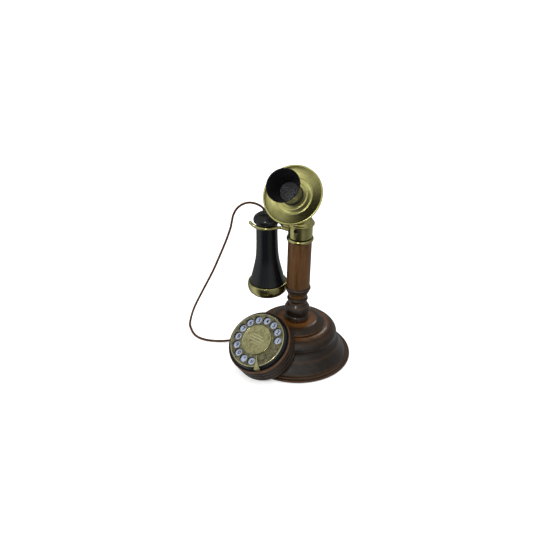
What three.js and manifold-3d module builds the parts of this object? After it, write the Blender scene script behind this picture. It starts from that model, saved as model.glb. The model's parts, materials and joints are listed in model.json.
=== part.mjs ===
// A candlestick telephone: a turned wooden base and column, a brass collar with a forked hook,
// a tilting transmitter with a horn, a bell receiver on a cord, and a push-button dial.
// Millimetres, +Z up. The column's axis is the Z axis and the table is z = 0.
// -Y is the front, where the transmitter looks, and the hook and the receiver are towards -X.
import * as THREE from "three";
import { mergeVertices } from "three/addons/utils/BufferGeometryUtils.js";
import Module from "manifold-3d";

// ---- driving dimensions ----
const GAP = 0.3; // clearance between pieces that touch
const BASE_R = 87.3;
const PAD_R = 84;
const PAD_TOP = 1.5;
const SKIRT_TOP = 39.3;
const RING_R = 64;
const RING_TOP = 56.3;
const DISC_R = 44.3;
const DISC_TOP = 65.3;
const BALUSTER_TOP = 124.5;
const COLUMN_R = 18.05;
const SHAFT_TOP = 205;
const COLLAR_R = 18.4;
const COLLAR_WALL = 2;
const SLEEVE_BOTTOM = 210.4;
const SLEEVE_TOP = 228.7;
const COLLAR_CAP_TOP = 242.5;
const ROD_R = 4;
const ROD_HOLE_R = 5;
const PIVOT_Z = 225.2;
const PIVOT_R = 1.9;

const RECEIVER_X = -55.2;
const RECEIVER_TILT = 2; // degrees, its foot towards the column
const FORK_Z = 217.2;
const FORK_SPREAD = 19;
const FORK_ROD_R = 2.2;
const STEM_SPREAD = 4;
const NECK_R = 16.4;
const EAR_RING_R = 31.2;

const TILT_AXIS = new THREE.Vector3(0, -3, 260);
const TRANSMITTER_CENTRE = new THREE.Vector3(0, -36.3, 291.8); // centre of the faceplate's rim
const TRANSMITTER_ELEVATION = 38.9; // degrees above the horizon that the horn looks
const FACEPLATE_R = 44.2;
const HORN_LENGTH = 44.1;
const HORN_MOUTH_R = 24.7;
const HORN_FOOT_R = 16;

const DIAL_OUT = 88; // from the column's axis to the dial's centre, level
const DIAL_BEARING = 250.3; // degrees from +X, where the dial's centre is
const DIAL_HEIGHT = 63.3;
const DIAL_FACING = 257.8; // degrees from +X, where the dial looks
const DIAL_ELEVATION = 52.8;
const DIAL_PLATE_R = 43.5;
const DIAL_PLATE_THICK = 1.6;
const DIAL_HOUSING_R = 50;
const DIAL_HOUSING_FRONT = -7.5;
const DIAL_SEAT = -11.5; // the bezel sits this deep, inside the housing's front lip
const DIAL_SEAT_R = 46.8;
const DIAL_HOUSING_BACK = -42.3;
const KEY_COUNT = 12;
const KEY_PITCH_R = 33.57;
const KEY_FIRST = 22; // degrees, anticlockwise from the dial's right
const KEY_STEP = 24;
const KEY_HOLE_R = 6.45; // in the finger plate
const KEY_R = 5.6;

const GLAND_BEARING = 194; // degrees from +X, where the cord leaves the base
const GLAND_Z = 8.8;
const GLAND_FACE = 92; // distance of the gland's end from the column's axis
const CORD_R = 1.8;

// The cord's route, from the receiver's boot to the base's gland.
const CORD_ROUTE = [
  [-61.0, 0, 240.6],
  [-64.4, 0, 243.1],
  [-68.8, 0, 244.9],
  [-75.4, 0, 246.1],
  [-83.7, 0, 245.7],
  [-90.6, 0, 243.4],
  [-97.4, 0, 239.3],
  [-103.2, 0, 234.0],
  [-108.2, 0, 227.2],
  [-112.4, 0, 217.6],
  [-114.8, 0, 206.4],
  [-117.4, 0, 194.1],
  [-125.0, 0, 171.0],
  [-137.3, 0, 139.3],
  [-150.7, 0, 106.6],
  [-167.0, 0, 72.0],
  [-182.6, -0.2, 38.0],
  [-188.6, -0.8, 22.0],
  [-191.4, -3.4, 9.6],
  [-190.2, -9.4, 3.2],
  [-186.0, -16.8, 2.1],
  [-179.6, -24.0, 2.1],
  [-171.4, -32.2, 2.1],
  [-161.4, -38.6, 2.1],
  [-150.2, -41.4, 2.1],
  [-137.0, -40.2, 2.1],
  [-121.5, -35.0, 2.2],
  [-106.5, -28.0, 3.6],
  [-97.6, -24.4, 7.2],
  [-89.7, -22.4, 8.8],
];

// ---- finishes ----
const finish = (color, roughness, metalness = 0) =>
  new THREE.MeshStandardMaterial({ color, roughness, metalness });
const DARK_WOOD = finish(0x2a1c14, 0.35);
const BROWN_WOOD = finish(0x5a3a1c, 0.4);
const BRASS = finish(0xa59a55, 0.25, 1);
const BLACK = finish(0x101114, 0.15);
const KEY_WHITE = finish(0xc9d3e6, 0.3);
const STEEL = finish(0x9a9a9a, 0.4, 1);
const IRON = finish(0x4a4a4a, 0.7, 1);
const FELT = finish(0x23331f, 0.95);
const BOARD_GREEN = finish(0x1f5a33, 0.6);
const RUBBER = finish(0x222222, 0.8);
const CORD_BROWN = finish(0x5a3219, 0.8);

// ---- shape helpers ----
const wasm = await Module();
wasm.setup();

const rad = THREE.MathUtils.degToRad;
const polar = (r, degrees) => [r * Math.cos(rad(degrees)), r * Math.sin(rad(degrees))];

// A profile of [radius, height] pairs turned about Z; it starts and ends on the axis or closes.
function turned(profile, segments) {
  const points = profile.map(([r, z]) => new THREE.Vector2(r, z));
  return new THREE.LatheGeometry(points, segments).rotateX(Math.PI / 2);
}

// A turned ring: the outline is closed back to its first point.
const turnedRing = (profile, segments) => turned([...profile, profile[0]], segments);

const rod = (r, low, high, segments) =>
  turned([[0, low], [r, low], [r, high], [0, high]], segments);

const tube = (inner, outer, low, high, segments) =>
  turnedRing([[inner, low], [outer, low], [outer, high], [inner, high]], segments);

const block = (low, high) =>
  new THREE.BoxGeometry(high[0] - low[0], high[1] - low[1], high[2] - low[2]).translate(
    (low[0] + high[0]) / 2,
    (low[1] + high[1]) / 2,
    (low[2] + high[2]) / 2,
  );

const alongX = (geometry) => geometry.rotateY(Math.PI / 2);
const alongY = (geometry) => geometry.rotateX(-Math.PI / 2);

// Points of an arc in a profile, from one angle to another in degrees.
function arc(r, z, radius, from, to, steps) {
  return Array.from({ length: steps + 1 }, (_, i) => {
    const [dr, dz] = polar(radius, from + ((to - from) * i) / steps);
    return [r + dr, z + dz];
  });
}

// Points of a smooth curve through a few points of a profile.
function smooth(points, steps) {
  const curve = new THREE.SplineCurve(points.map(([r, z]) => new THREE.Vector2(r, z)));
  return curve.getPoints(steps).map((p) => [p.x, p.y]);
}

const circle = (radius, sides) =>
  new THREE.Shape(
    Array.from({ length: sides }, (_, i) => new THREE.Vector2(...polar(radius, (360 * i) / sides))),
  );

// A round tube that follows a smooth line through the points.
function wire(points, radius, sides, steps) {
  const path = new THREE.CatmullRomCurve3(points.map((p) => new THREE.Vector3(...p)));
  return new THREE.ExtrudeGeometry(circle(radius, sides), { steps, extrudePath: path, bevelEnabled: false });
}

function solid(geometry) {
  const bare = new THREE.BufferGeometry();
  bare.setAttribute("position", geometry.getAttribute("position"));
  bare.setIndex(geometry.getIndex());
  const merged = mergeVertices(bare, 1e-3);
  return new wasm.Manifold(
    new wasm.Mesh({
      numProp: 3,
      vertProperties: merged.getAttribute("position").array,
      triVerts: new Uint32Array(merged.getIndex().array),
    }),
  );
}

function surface(body) {
  const { vertProperties, triVerts } = body.getMesh();
  const geometry = new THREE.BufferGeometry();
  geometry.setAttribute("position", new THREE.BufferAttribute(vertProperties, 3));
  geometry.setIndex(new THREE.BufferAttribute(triVerts, 1));
  return geometry;
}

const cut = (geometry, ...tools) =>
  surface(tools.reduce((body, tool) => body.subtract(solid(tool)), solid(geometry)));

const join = (geometry, ...others) =>
  surface(others.reduce((body, other) => body.add(solid(other)), solid(geometry)));

const phone = new THREE.Group();

function piece(name, geometry, material, group = phone) {
  const mesh = new THREE.Mesh(geometry, material);
  mesh.name = name;
  group.add(mesh);
  return mesh;
}

// ---- base ----
const SCREW_PITCH_R = 72;
const SCREW_BEARINGS = [110, 230, 350]; // degrees from +X

const skirtOuter = [
  [BASE_R, PAD_TOP],
  [BASE_R, PAD_TOP + 2.3],
  [83.4, 4.7],
  [83, 6.4],
  [79.8, 7.2],
  ...smooth([[79.2, 9], [76.6, 13], [72.4, 19], [69, 24.5]], 4),
  ...smooth([[68.2, 26.4], [64.2, 30.6], [61.8, 35], [61.4, SKIRT_TOP]], 4),
];
const ringOuter = smooth(
  [[62.4, 39.6], [RING_R, 41.6], [62.9, 46.4], [58.6, 51.6], [50.8, 55.4], [44, RING_TOP]],
  7,
);
const discOuter = smooth(
  [[43.2, 56.6], [DISC_R, 57.7], [43.6, 59], [41, 60.6], [37, 63], [32.6, 64.8], [29, DISC_TOP]],
  7,
);

function skirt() {
  const inner = [
    [ROD_HOLE_R, SKIRT_TOP],
    [ROD_HOLE_R, 31.5],
    [46, 31.5],
    [60, 22],
    [66.5, 12],
    [68, 4.1],
    [76.3, 4.1],
    [76.3, PAD_TOP],
  ];
  const screwHoles = SCREW_BEARINGS.map((degrees) =>
    rod(1.9, 2, 12.6, 8).translate(...polar(SCREW_PITCH_R, degrees), 0),
  );
  const glandHole = alongX(rod(4.4, 50, 95, 12)).rotateZ(rad(GLAND_BEARING)).translate(0, 0, GLAND_Z);
  const jackWindow = block([-7.3, 58, 7.2], [7.3, 95, 18.3]);
  return cut(turnedRing([...skirtOuter, ...inner], 28), ...screwHoles, glandHole, jackWindow);
}

piece("felt_pad", rod(PAD_R, 0, PAD_TOP - GAP, 28), FELT);
piece("base_skirt", skirt(), DARK_WOOD);
piece(
  "base_ring",
  turnedRing([[ROD_HOLE_R, 39.6], ...ringOuter, [ROD_HOLE_R, RING_TOP]], 28),
  DARK_WOOD,
);
piece(
  "top_disc",
  turnedRing([[ROD_HOLE_R, 56.6], ...discOuter, [ROD_HOLE_R, DISC_TOP]], 24),
  BROWN_WOOD,
);

const plateHoles = SCREW_BEARINGS.map((degrees) =>
  rod(4, 1, 5, 12).translate(...polar(SCREW_PITCH_R, degrees), 0),
);
piece("bottom_plate", cut(rod(76, PAD_TOP + GAP, 3.8, 28), ...plateHoles), STEEL);
SCREW_BEARINGS.forEach((degrees, i) => {
  const screw = turned([[0, 2], [3.7, 2], [3.7, 3.4], [1.6, 3.6], [1.6, 12.2], [0, 12.2]], 10);
  const mesh = piece(`base_screw_${i + 1}`, screw, STEEL);
  mesh.position.set(...polar(SCREW_PITCH_R, degrees), 0);
});
piece("ballast_ring", tube(22, 57, 4.1, 12.5, 24), IRON);
// The ringer's sounder is soldered to the board.
const sounder = rod(11, 15, 20, 16).translate(15, 5, 0);
piece("circuit_board", join(block([-30, -20, 14], [30, 20, 15.6]), sounder), BOARD_GREEN);

const jackSocket = block([-5.2, 69, 9.2], [5.2, 82, 16.4]);
piece("line_jack", cut(block([-7, 62, 7.5], [7, 79.5, 18]), jackSocket), BLACK);

const glandProfile = [[0, 66], [4.1, 66], [4.1, 83], [2.6, GLAND_FACE], [0, GLAND_FACE]];
const gland = piece("cord_gland", alongX(turned(glandProfile, 12)), RUBBER);
gland.rotation.z = rad(GLAND_BEARING);
gland.position.z = GLAND_Z;

// ---- column ----
const BALUSTER_BOTTOM = DISC_TOP + GAP;
const balusterOuter = [
  [18.8, BALUSTER_BOTTOM],
  [19.5, 69],
  [18.4, 72.6],
  [16.6, 74.4],
  ...smooth([[17.6, 76], [20, 82.6], [18, 89], [14.1, 95]], 4),
  ...arc(14, 101.6, 2.3, -80, 80, 3),
  ...smooth([[14.7, 106.6], [15.8, 111.4], [18.6, 117.4]], 2),
  ...arc(17.4, 121, 2.6, -70, 70, 3),
];
piece(
  "column_baluster",
  turnedRing([[ROD_HOLE_R, BALUSTER_BOTTOM], ...balusterOuter, [ROD_HOLE_R, BALUSTER_TOP]], 18),
  DARK_WOOD,
);
piece("column_shaft", tube(ROD_HOLE_R, COLUMN_R, BALUSTER_TOP + GAP, SHAFT_TOP, 20), BROWN_WOOD);

const ROD_BOTTOM = 22;
const ROD_TOP = 213;
const nut = (r, low, high) => cut(rod(r, low, high, 6), rod(ROD_R + GAP, low - 1, high + 1, 12));
piece("tie_rod", rod(ROD_R, ROD_BOTTOM, ROD_TOP, 12), STEEL);
piece("tie_rod_nut_lower", nut(8, 25.8, 31.2), STEEL);
piece("tie_rod_nut_upper", nut(7, 209.6, 212.7), STEEL);

// ---- collar ----
const FERRULE_TOP = 210.1;
const NUT_SEAT = 209.3;
const ferrule = [
  [COLUMN_R + GAP, 203.2],
  ...arc(17.6, 206.1, 2.9, -70, 70, 4),
  [16.9, 209],
  [16.9, FERRULE_TOP],
  [10, FERRULE_TOP],
  [10, NUT_SEAT],
  [ROD_HOLE_R, NUT_SEAT],
  [ROD_HOLE_R, SHAFT_TOP + GAP],
  [COLUMN_R + GAP, SHAFT_TOP + GAP],
];
piece("collar_ferrule", turnedRing(ferrule, 20), BRASS);

const hookSlot = block([-30, -6.8, 214], [-8, 6.8, 224.4]);
const screwPassage = alongY(rod(PIVOT_R + GAP, -30, 30, 12)).translate(0, 0, PIVOT_Z);
piece(
  "collar_sleeve",
  cut(tube(COLLAR_R - COLLAR_WALL, COLLAR_R, SLEEVE_BOTTOM, SLEEVE_TOP, 20), hookSlot, screwPassage),
  BRASS,
);
const collarCap = [
  [0, SLEEVE_TOP + GAP],
  [19.6, SLEEVE_TOP + GAP],
  ...arc(18.6, 231.6, 2.4, -60, 60, 3),
  ...smooth([[19, 234.4], [15.4, 238.6], [8.6, COLLAR_CAP_TOP]], 3),
  [0, COLLAR_CAP_TOP],
];
piece("collar_cap", turned(collarCap, 20), BRASS);

const pivotScrew = [[0, 18.7], [2.9, 18.7], [2.9, 19.6], [2, 20.2], [0, 20.2]];
piece(
  "pivot_screw",
  join(alongY(rod(PIVOT_R, -18, 18.9, 12)), alongY(turned(pivotScrew, 12)))
    .rotateZ(Math.PI)
    .translate(0, 0, PIVOT_Z),
  STEEL,
);

const switchBody = block([4.9, -5, 213], [13, 5, 220]);
const switchLever = block([0.5, -1.5, 218.6], [5.5, 1.5, 219.2]);
piece("hook_switch", join(switchBody, switchLever), BLACK);

const SPRING_R = 3;
const SPRING_TURNS = 3;
const springLine = Array.from({ length: SPRING_TURNS * 8 + 1 }, (_, i) => {
  const [x, z] = polar(SPRING_R, i * 45);
  return [x, 7.4 + i * 0.24, z + PIVOT_Z];
});
piece("hook_spring", wire(springLine, 0.45, 5, SPRING_TURNS * 9), STEEL);

// ---- hook ----
function prong(side) {
  const line = [
    [-2, STEM_SPREAD, PIVOT_Z - 1.5],
    [-8, STEM_SPREAD, 220.2],
    [-14, STEM_SPREAD, 217.6],
    [-20, STEM_SPREAD, 217.2],
    [-30, STEM_SPREAD + 0.6, FORK_Z + 0.9],
    [-38, 11, FORK_Z + 0.7],
    [-46, 17.3, FORK_Z + 0.2],
    [-54, FORK_SPREAD, FORK_Z],
    [-62, FORK_SPREAD, FORK_Z],
    [-67.5, FORK_SPREAD, FORK_Z + 1.6],
    [-72, FORK_SPREAD, FORK_Z + 4.4],
    [-74.4, FORK_SPREAD, FORK_Z + 6.6],
  ];
  return wire(line.map(([x, y, z]) => [x, y * side, z]), FORK_ROD_R, 6, 20);
}
const hub = alongY(tube(PIVOT_R + GAP, 3.4, -6, 6, 12)).translate(0, 0, PIVOT_Z);
const bore = alongY(rod(PIVOT_R + GAP, -7, 7, 12)).translate(0, 0, PIVOT_Z);
piece("hook_lever", cut(join(hub, prong(1), prong(-1)), bore), BRASS);

// ---- transmitter ----
const EYE_R = 6;
const PERCH_FOOT = COLLAR_CAP_TOP + GAP;
const tiltBore = alongX(rod(2.3, -20, 20, 12)).translate(...TILT_AXIS.toArray());

function ear(side) {
  const low = Math.min(4.5 * side, 8 * side);
  const eye = alongX(rod(EYE_R, low, low + 3.5, 16)).translate(...TILT_AXIS.toArray());
  const web = block([low, TILT_AXIS.y - EYE_R, 247], [low + 3.5, TILT_AXIS.y + EYE_R, TILT_AXIS.z]);
  return join(eye, web);
}
const perchFoot = turned(
  [[0, PERCH_FOOT], [8.4, PERCH_FOOT], [9.6, 244.4], [9.6, 246.8], [8, 248.6], [0, 248.6]],
  24,
);
piece("transmitter_perch", cut(join(perchFoot, ear(1), ear(-1)), tiltBore), BRASS);
const thumbScrew = [
  [0, -12], [4, -12], [4, -8.4], [2, -8.4], [2, 8.4], [4, 8.4], [4, 12], [0, 12],
];
piece("tilt_screw", alongX(turned(thumbScrew, 12)).translate(...TILT_AXIS.toArray()), BRASS);

// The transmitter's own frame: the rim's centre is its origin, +Z looks out of the horn.
const transmitter = new THREE.Group();
transmitter.position.copy(TRANSMITTER_CENTRE);
transmitter.rotation.x = rad(90 - TRANSMITTER_ELEVATION);
phone.add(transmitter);
transmitter.updateMatrixWorld(true);
const hinge = transmitter.worldToLocal(TILT_AXIS.clone());

const CUP_BACK = -28;
const cupProfile = [
  [2, CUP_BACK],
  ...smooth([[22, CUP_BACK], [32, -24], [37, -15.5], [38.2, -9.2]], 5),
  [36.6, -9.2],
  ...smooth([[35.4, -15], [30.6, -22.6], [21.4, CUP_BACK + 1.8]], 4),
  [2, CUP_BACK + 1.8],
];
piece("transmitter_cup", turnedRing(cupProfile, 24), BRASS, transmitter);

const lugArm = block([-4.1, hinge.y - EYE_R, hinge.z], [4.1, hinge.y + EYE_R, CUP_BACK - 2]);
const lugEye = alongX(rod(EYE_R, -4.1, 4.1, 16)).translate(0, hinge.y, hinge.z);
const lugFlange = rod(12, CUP_BACK - 3, CUP_BACK - GAP, 20);
const lugBore = alongX(rod(2.3, -20, 20, 12)).translate(0, hinge.y, hinge.z);
piece("transmitter_lug", cut(join(lugFlange, lugArm, lugEye), lugBore), BRASS, transmitter);

const faceplateFront = [
  [42.2, -1.4],
  ...smooth([[40.4, -3.1], [34, -5.2], [27.4, -6.4]], 3),
  [26.6, -5.4],
  [20.2, -5.2],
  [19.4, -4.2],
  [9, -4.2],
];
const faceplateBack = [
  [9, -10.6],
  [26, -10.4],
  ...smooth([[34.4, -8.9], [39.6, -6], [41.8, -3.4]], 3),
  ...arc(FACEPLATE_R - 1.5, -1.6, 1.5, -50, 130, 5),
];
piece("faceplate", turnedRing([...faceplateBack, ...faceplateFront], 28), BRASS, transmitter);

const HORN_FOOT = -3.9;
const hornOutside = smooth(
  [[15, 2.6], [15.3, 9], [17.3, 19], [20.2, 30], [23, 39.6], [HORN_MOUTH_R, HORN_LENGTH]],
  7,
);
const hornInside = smooth(
  [[HORN_MOUTH_R - 2, HORN_LENGTH], [21, 38.4], [18.2, 29], [15.4, 18], [13.4, 8], [12.8, HORN_FOOT]],
  7,
);
piece(
  "mouthpiece",
  turnedRing([[HORN_FOOT_R, HORN_FOOT], [HORN_FOOT_R, 1], ...hornOutside, ...hornInside], 24),
  BLACK,
  transmitter,
);

// The grille stands across the horn a third of the way up it.
const GRILLE_BACK = 11.9;
const GRILLE_FRONT = 13.6;
const grilleHole = () => rod(1.6, GRILLE_BACK - 2, GRILLE_FRONT + 2, 6);
const grilleHoles = Array.from({ length: 6 }, (_, i) => grilleHole().translate(...polar(7, i * 60), 0));
piece(
  "mouthpiece_grille",
  cut(rod(13.7, GRILLE_BACK, GRILLE_FRONT, 16), grilleHole(), ...grilleHoles),
  BLACK,
  transmitter,
);
piece(
  "microphone",
  turned([[0, -24], [9, -24], [9, -18], [20, -18], [20, -11.4], [8.4, -11.4], [8.4, -5], [0, -5]], 20),
  STEEL,
  transmitter,
);

// ---- receiver ----
// The receiver's own frame keeps the phone's heights and tips it about the fork.
const receiverTip = new THREE.Group();
receiverTip.position.set(RECEIVER_X, 0, FORK_Z);
receiverTip.rotation.y = rad(-RECEIVER_TILT);
phone.add(receiverTip);
const receiver = new THREE.Group();
receiver.position.z = -FORK_Z;
receiverTip.add(receiver);

const SHELL_TOP = 219.9;
const shellOutside = smooth(
  [[27.4, 119.6], [25.3, 127.5], [21.6, 143], [19, 155], [17.5, 167], [16.7, 184], [NECK_R, 202], [NECK_R, SHELL_TOP]],
  8,
);
const shellInside = smooth(
  [[12.2, 216], [12.6, 190], [14.6, 168], [17.6, 150], [21, 136], [22.4, 124], [22.4, 112]],
  7,
);
piece(
  "receiver_shell",
  turnedRing([[24.6, 112], [24.6, 119.6], ...shellOutside, [3.4, SHELL_TOP], [3.4, 216], ...shellInside], 20),
  BLACK,
  receiver,
);
const capTop = 234.4;
const receiverCap = [
  [3.4, SHELL_TOP + GAP],
  [19, SHELL_TOP + GAP],
  ...smooth([[20.4, 222.6], [20.2, 226.8], [17.4, 231], [12.6, 233.6], [8, capTop]], 6),
  [3.4, capTop],
];
piece("receiver_cap", turnedRing(receiverCap, 20), BLACK, receiver);

const BOOT_LEAN = 50; // degrees towards the cord
const bootNozzle = turned([[0, 1], [3, 1], [2.6, 6.6], [0, 6.6]], 12).rotateY(-rad(BOOT_LEAN));
piece(
  "receiver_boot",
  join(
    turned([[0, 214], [3, 214], [3, capTop + GAP], [5.4, capTop + GAP], [4.4, 236.8], [0, 236.8]], 12),
    bootNozzle.translate(0, 0, capTop + 2),
  ),
  RUBBER,
  receiver,
);

const earRing = [
  [25, 102.3],
  ...smooth([[26.8, 102.3], [29.4, 104.6], [30.9, 108.4], [EAR_RING_R, 112.6], [30.6, 117.4]], 6),
  [29.4, 119.3],
  [25, 119.3],
];
piece("ear_ring", turnedRing(earRing, 24), BRASS, receiver);

const earpiece = [
  [0, 104.6],
  ...smooth([[8, 104.2], [18, 101.6], [24, 100.4]], 3),
  [26, 100.7],
  [26, 102.2],
  [24.6, 102.2],
  [24.6, 108],
  [0, 108],
];
const earHoles = Array.from({ length: 6 }, (_, i) =>
  rod(1.4, 98, 110, 6).translate(...polar(6, i * 60), 0),
);
piece(
  "earpiece",
  cut(turned(earpiece, 20), rod(1.4, 98, 110, 6), ...earHoles),
  BLACK,
  receiver,
);
piece("receiver_diaphragm", rod(24.4, 108.4, 109.2, 24), STEEL, receiver);
piece(
  "receiver_magnet",
  turned([[0, 111], [17, 111], [17, 117], [9, 117], [9, 132], [0, 132]], 16),
  IRON,
  receiver,
);
piece("receiver_cord", wire(CORD_ROUTE, CORD_R, 8, 56), CORD_BROWN);

// ---- dial ----
// The dial's own frame: the plate's face is z = 0, +X to the dial's right, +Z out of the dial.
const dial = new THREE.Group();
const [dialX, dialY] = polar(DIAL_OUT, DIAL_BEARING);
dial.position.set(dialX, dialY, DIAL_HEIGHT);
dial.rotation.order = "ZXY";
dial.rotation.z = rad(DIAL_FACING + 90);
dial.rotation.x = rad(90 - DIAL_ELEVATION);
phone.add(dial);
dial.updateMatrixWorld(true);

// Three grooves run round the housing's side, between four flat lands.
function housingProfile() {
  const lands = 4;
  const pitch = (DIAL_HOUSING_FRONT - DIAL_HOUSING_BACK) / lands;
  const outline = [[0, DIAL_HOUSING_BACK], [DIAL_HOUSING_R - 1.6, DIAL_HOUSING_BACK]];
  for (let i = 0; i < lands; i += 1) {
    const low = DIAL_HOUSING_BACK + i * pitch;
    outline.push([DIAL_HOUSING_R, low + 1.2]);
    outline.push([DIAL_HOUSING_R, low + pitch - 1.2]);
    outline.push([DIAL_HOUSING_R - 1.6, low + pitch]);
  }
  const lip = [[DIAL_SEAT_R, DIAL_HOUSING_FRONT], [DIAL_SEAT_R, DIAL_SEAT]];
  return [...outline, ...lip, [30, DIAL_SEAT], [30, -28], [0, -28]];
}

// The base's outside, grown by the clearance, takes its bite out of the housing's back.
function grown(outline) {
  const [bottom, top] = [outline[0], outline.at(-1)];
  const wider = outline.map(([r, z]) => [r + 0.5, z]);
  const lid = [[top[0] + 0.5, top[1] + 0.6], [0, top[1] + 0.6]];
  return turned([[0, bottom[1] - 0.6], [bottom[0] + 0.5, bottom[1] - 0.6], ...wider, ...lid], 28);
}
const baseBite = join(grown(skirtOuter), grown(ringOuter), grown(discOuter), rod(20.4, 60, 95, 24));
const table = block([-200, -200, -60], [200, 200, 0.6]);
const toDial = dial.matrixWorld.clone().invert();
piece(
  "dial_housing",
  cut(turned(housingProfile(), 28), baseBite.applyMatrix4(toDial), table.applyMatrix4(toDial)),
  DARK_WOOD,
  dial,
);

const BEZEL_BACK = DIAL_SEAT + GAP;
const bezel = [
  [0, BEZEL_BACK],
  [46.4, BEZEL_BACK],
  ...smooth([[46.4, -7.6], [45.8, -4.6], [44.6, -1.9]], 3),
  [42.6, -1.9],
  [42.6, -9.4],
  [0, -9.4],
];
piece("dial_bezel", turned(bezel, 28), BLACK, dial);
piece("keypad_board", rod(42.2, -9.1, -8.1, 24), BOARD_GREEN, dial);
piece("keypad_membrane", rod(42.2, -7.8, -7.2, 24), RUBBER, dial);

const GUIDE_BACK = -3.9;
const keyAngles = Array.from({ length: KEY_COUNT }, (_, i) => KEY_FIRST + i * KEY_STEP);
const holesOf = (radius) =>
  keyAngles.map((degrees) => rod(radius, -5, 3, 10).translate(...polar(KEY_PITCH_R, degrees), 0));
const fingerPlate = rod(DIAL_PLATE_R, -DIAL_PLATE_THICK, 0, 36);
const keyGuide = rod(42.2, GUIDE_BACK, -DIAL_PLATE_THICK - GAP, 24);
piece("finger_plate", cut(fingerPlate, ...holesOf(KEY_HOLE_R)), BRASS, dial);
piece("key_guide", cut(keyGuide, ...holesOf(KEY_R + 2 * GAP)), BLACK, dial);
const disc = [[0, GAP], [24.7, GAP], [25, 1], [24.3, 2.1], [23.3, 2.1], [22.7, 1.4], [0, 1.4]];
piece("dial_disc", turned(disc, 24), BRASS, dial);

// Each key's flange stays under the guide, and its face is well below the finger plate.
const KEY_FOOT = -5.2;
const KEY_TOP = -3.4;
const FLANGE_TOP = GUIDE_BACK - GAP;
const keyProfile = [
  [0, KEY_FOOT],
  [6.7, KEY_FOOT],
  [6.7, FLANGE_TOP],
  [KEY_R, FLANGE_TOP],
  [KEY_R, KEY_TOP - 0.4],
  [KEY_R - 0.5, KEY_TOP],
  [0, KEY_TOP],
];
keyAngles.forEach((degrees, i) => {
  const name = `key_${String(i + 1).padStart(2, "0")}`;
  piece(name, turned(keyProfile, 10), KEY_WHITE, dial).position.set(...polar(KEY_PITCH_R, degrees), 0);
});

// The finger stop: a narrow tongue over the plate, on a wide foot that stands on the housing's lip.
function fingerStop() {
  const outline = new THREE.Shape();
  outline.moveTo(...polar(48.6, 297));
  outline.absarc(0, 0, 48.6, rad(297), rad(308), false);
  outline.lineTo(...polar(36, 305));
  outline.lineTo(...polar(26, 304));
  outline.lineTo(...polar(26, 300.5));
  outline.lineTo(...polar(36, 299));
  outline.closePath();
  const tongue = new THREE.ExtrudeGeometry(outline, { depth: 1.2, bevelEnabled: false, curveSegments: 4 });
  const foot = new THREE.Shape();
  foot.moveTo(...polar(47.6, 298));
  foot.lineTo(...polar(48.6, 298));
  foot.lineTo(...polar(48.6, 307));
  foot.lineTo(...polar(47.6, 307));
  foot.closePath();
  const footLow = DIAL_HOUSING_FRONT + GAP;
  const strap = new THREE.ExtrudeGeometry(foot, { depth: 2 * GAP - footLow, bevelEnabled: false });
  return join(tongue.translate(0, 0, GAP), strap.translate(0, 0, footLow));
}
piece("finger_stop", fingerStop(), BRASS, dial);

export default phone;
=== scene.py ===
"""The looks of a candlestick telephone: turned wood, olive brass, gloss black and a braided cord.

Lengths are written in millimetres and turned into metres where a mesh is made. The frame is the
CAD part's: +Z up along the column, -Y to the front, and the receiver hangs towards -X.
"""

import json
import math

import bmesh
import bpy
from mathutils import Matrix, Vector


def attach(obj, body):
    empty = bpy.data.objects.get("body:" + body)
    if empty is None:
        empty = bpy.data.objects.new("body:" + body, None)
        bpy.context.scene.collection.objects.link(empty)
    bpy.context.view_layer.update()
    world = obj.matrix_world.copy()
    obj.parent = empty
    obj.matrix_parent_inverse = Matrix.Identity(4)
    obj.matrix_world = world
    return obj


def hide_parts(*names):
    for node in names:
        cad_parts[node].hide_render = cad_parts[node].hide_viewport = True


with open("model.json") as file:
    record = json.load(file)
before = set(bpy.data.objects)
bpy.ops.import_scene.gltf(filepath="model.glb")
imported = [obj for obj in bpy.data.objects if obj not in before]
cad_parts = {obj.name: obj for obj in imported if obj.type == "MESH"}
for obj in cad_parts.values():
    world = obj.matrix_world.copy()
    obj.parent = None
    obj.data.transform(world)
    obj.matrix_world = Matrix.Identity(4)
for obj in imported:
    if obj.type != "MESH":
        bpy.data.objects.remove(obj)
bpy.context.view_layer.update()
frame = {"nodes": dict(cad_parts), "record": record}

MM = 0.001
GAP = 0.3
FILLET_STEPS = 4
ROUND_END_STEPS = 5
MERGE_WITHIN = 2e-6

# ---- driving dimensions, as in the CAD apart from the fork's rods and the finger holes ----
BASE_R = 87.3
PAD_R = 84
PAD_TOP = 1.5
SKIRT_TOP = 39.3
RING_TOP = 56.3
DISC_TOP = 65.3
BALUSTER_TOP = 124.5
COLUMN_R = 18.05
SHAFT_TOP = 205
COLLAR_R = 18.4
SLEEVE_BOTTOM = 210.4
SLEEVE_TOP = 228.7
COLLAR_CAP_TOP = 242.5
ROD_HOLE_R = 5
PIVOT_Z = 225.2
PIVOT_R = 1.9

RECEIVER_X = -55.2
RECEIVER_TILT = 2
FORK_Z = 217.2
FORK_SPREAD = 19
FORK_ROD_R = 2.4
STEM_SPREAD = 4
RECEIVER_CAP_TOP = 234.4
BOOT_LEAN = 50

TILT_AXIS = Vector((0, -3, 260))
TILT_HOLE_R = 2.3
TRANSMITTER_CENTRE = Vector((0, -36.3, 291.8))
TRANSMITTER_ELEVATION = 38.9
FACEPLATE_R = 44.2
HORN_LENGTH = 44.1
HORN_MOUTH_R = 24.7
HORN_FOOT = -3.9
CUP_BACK = -28

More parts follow.
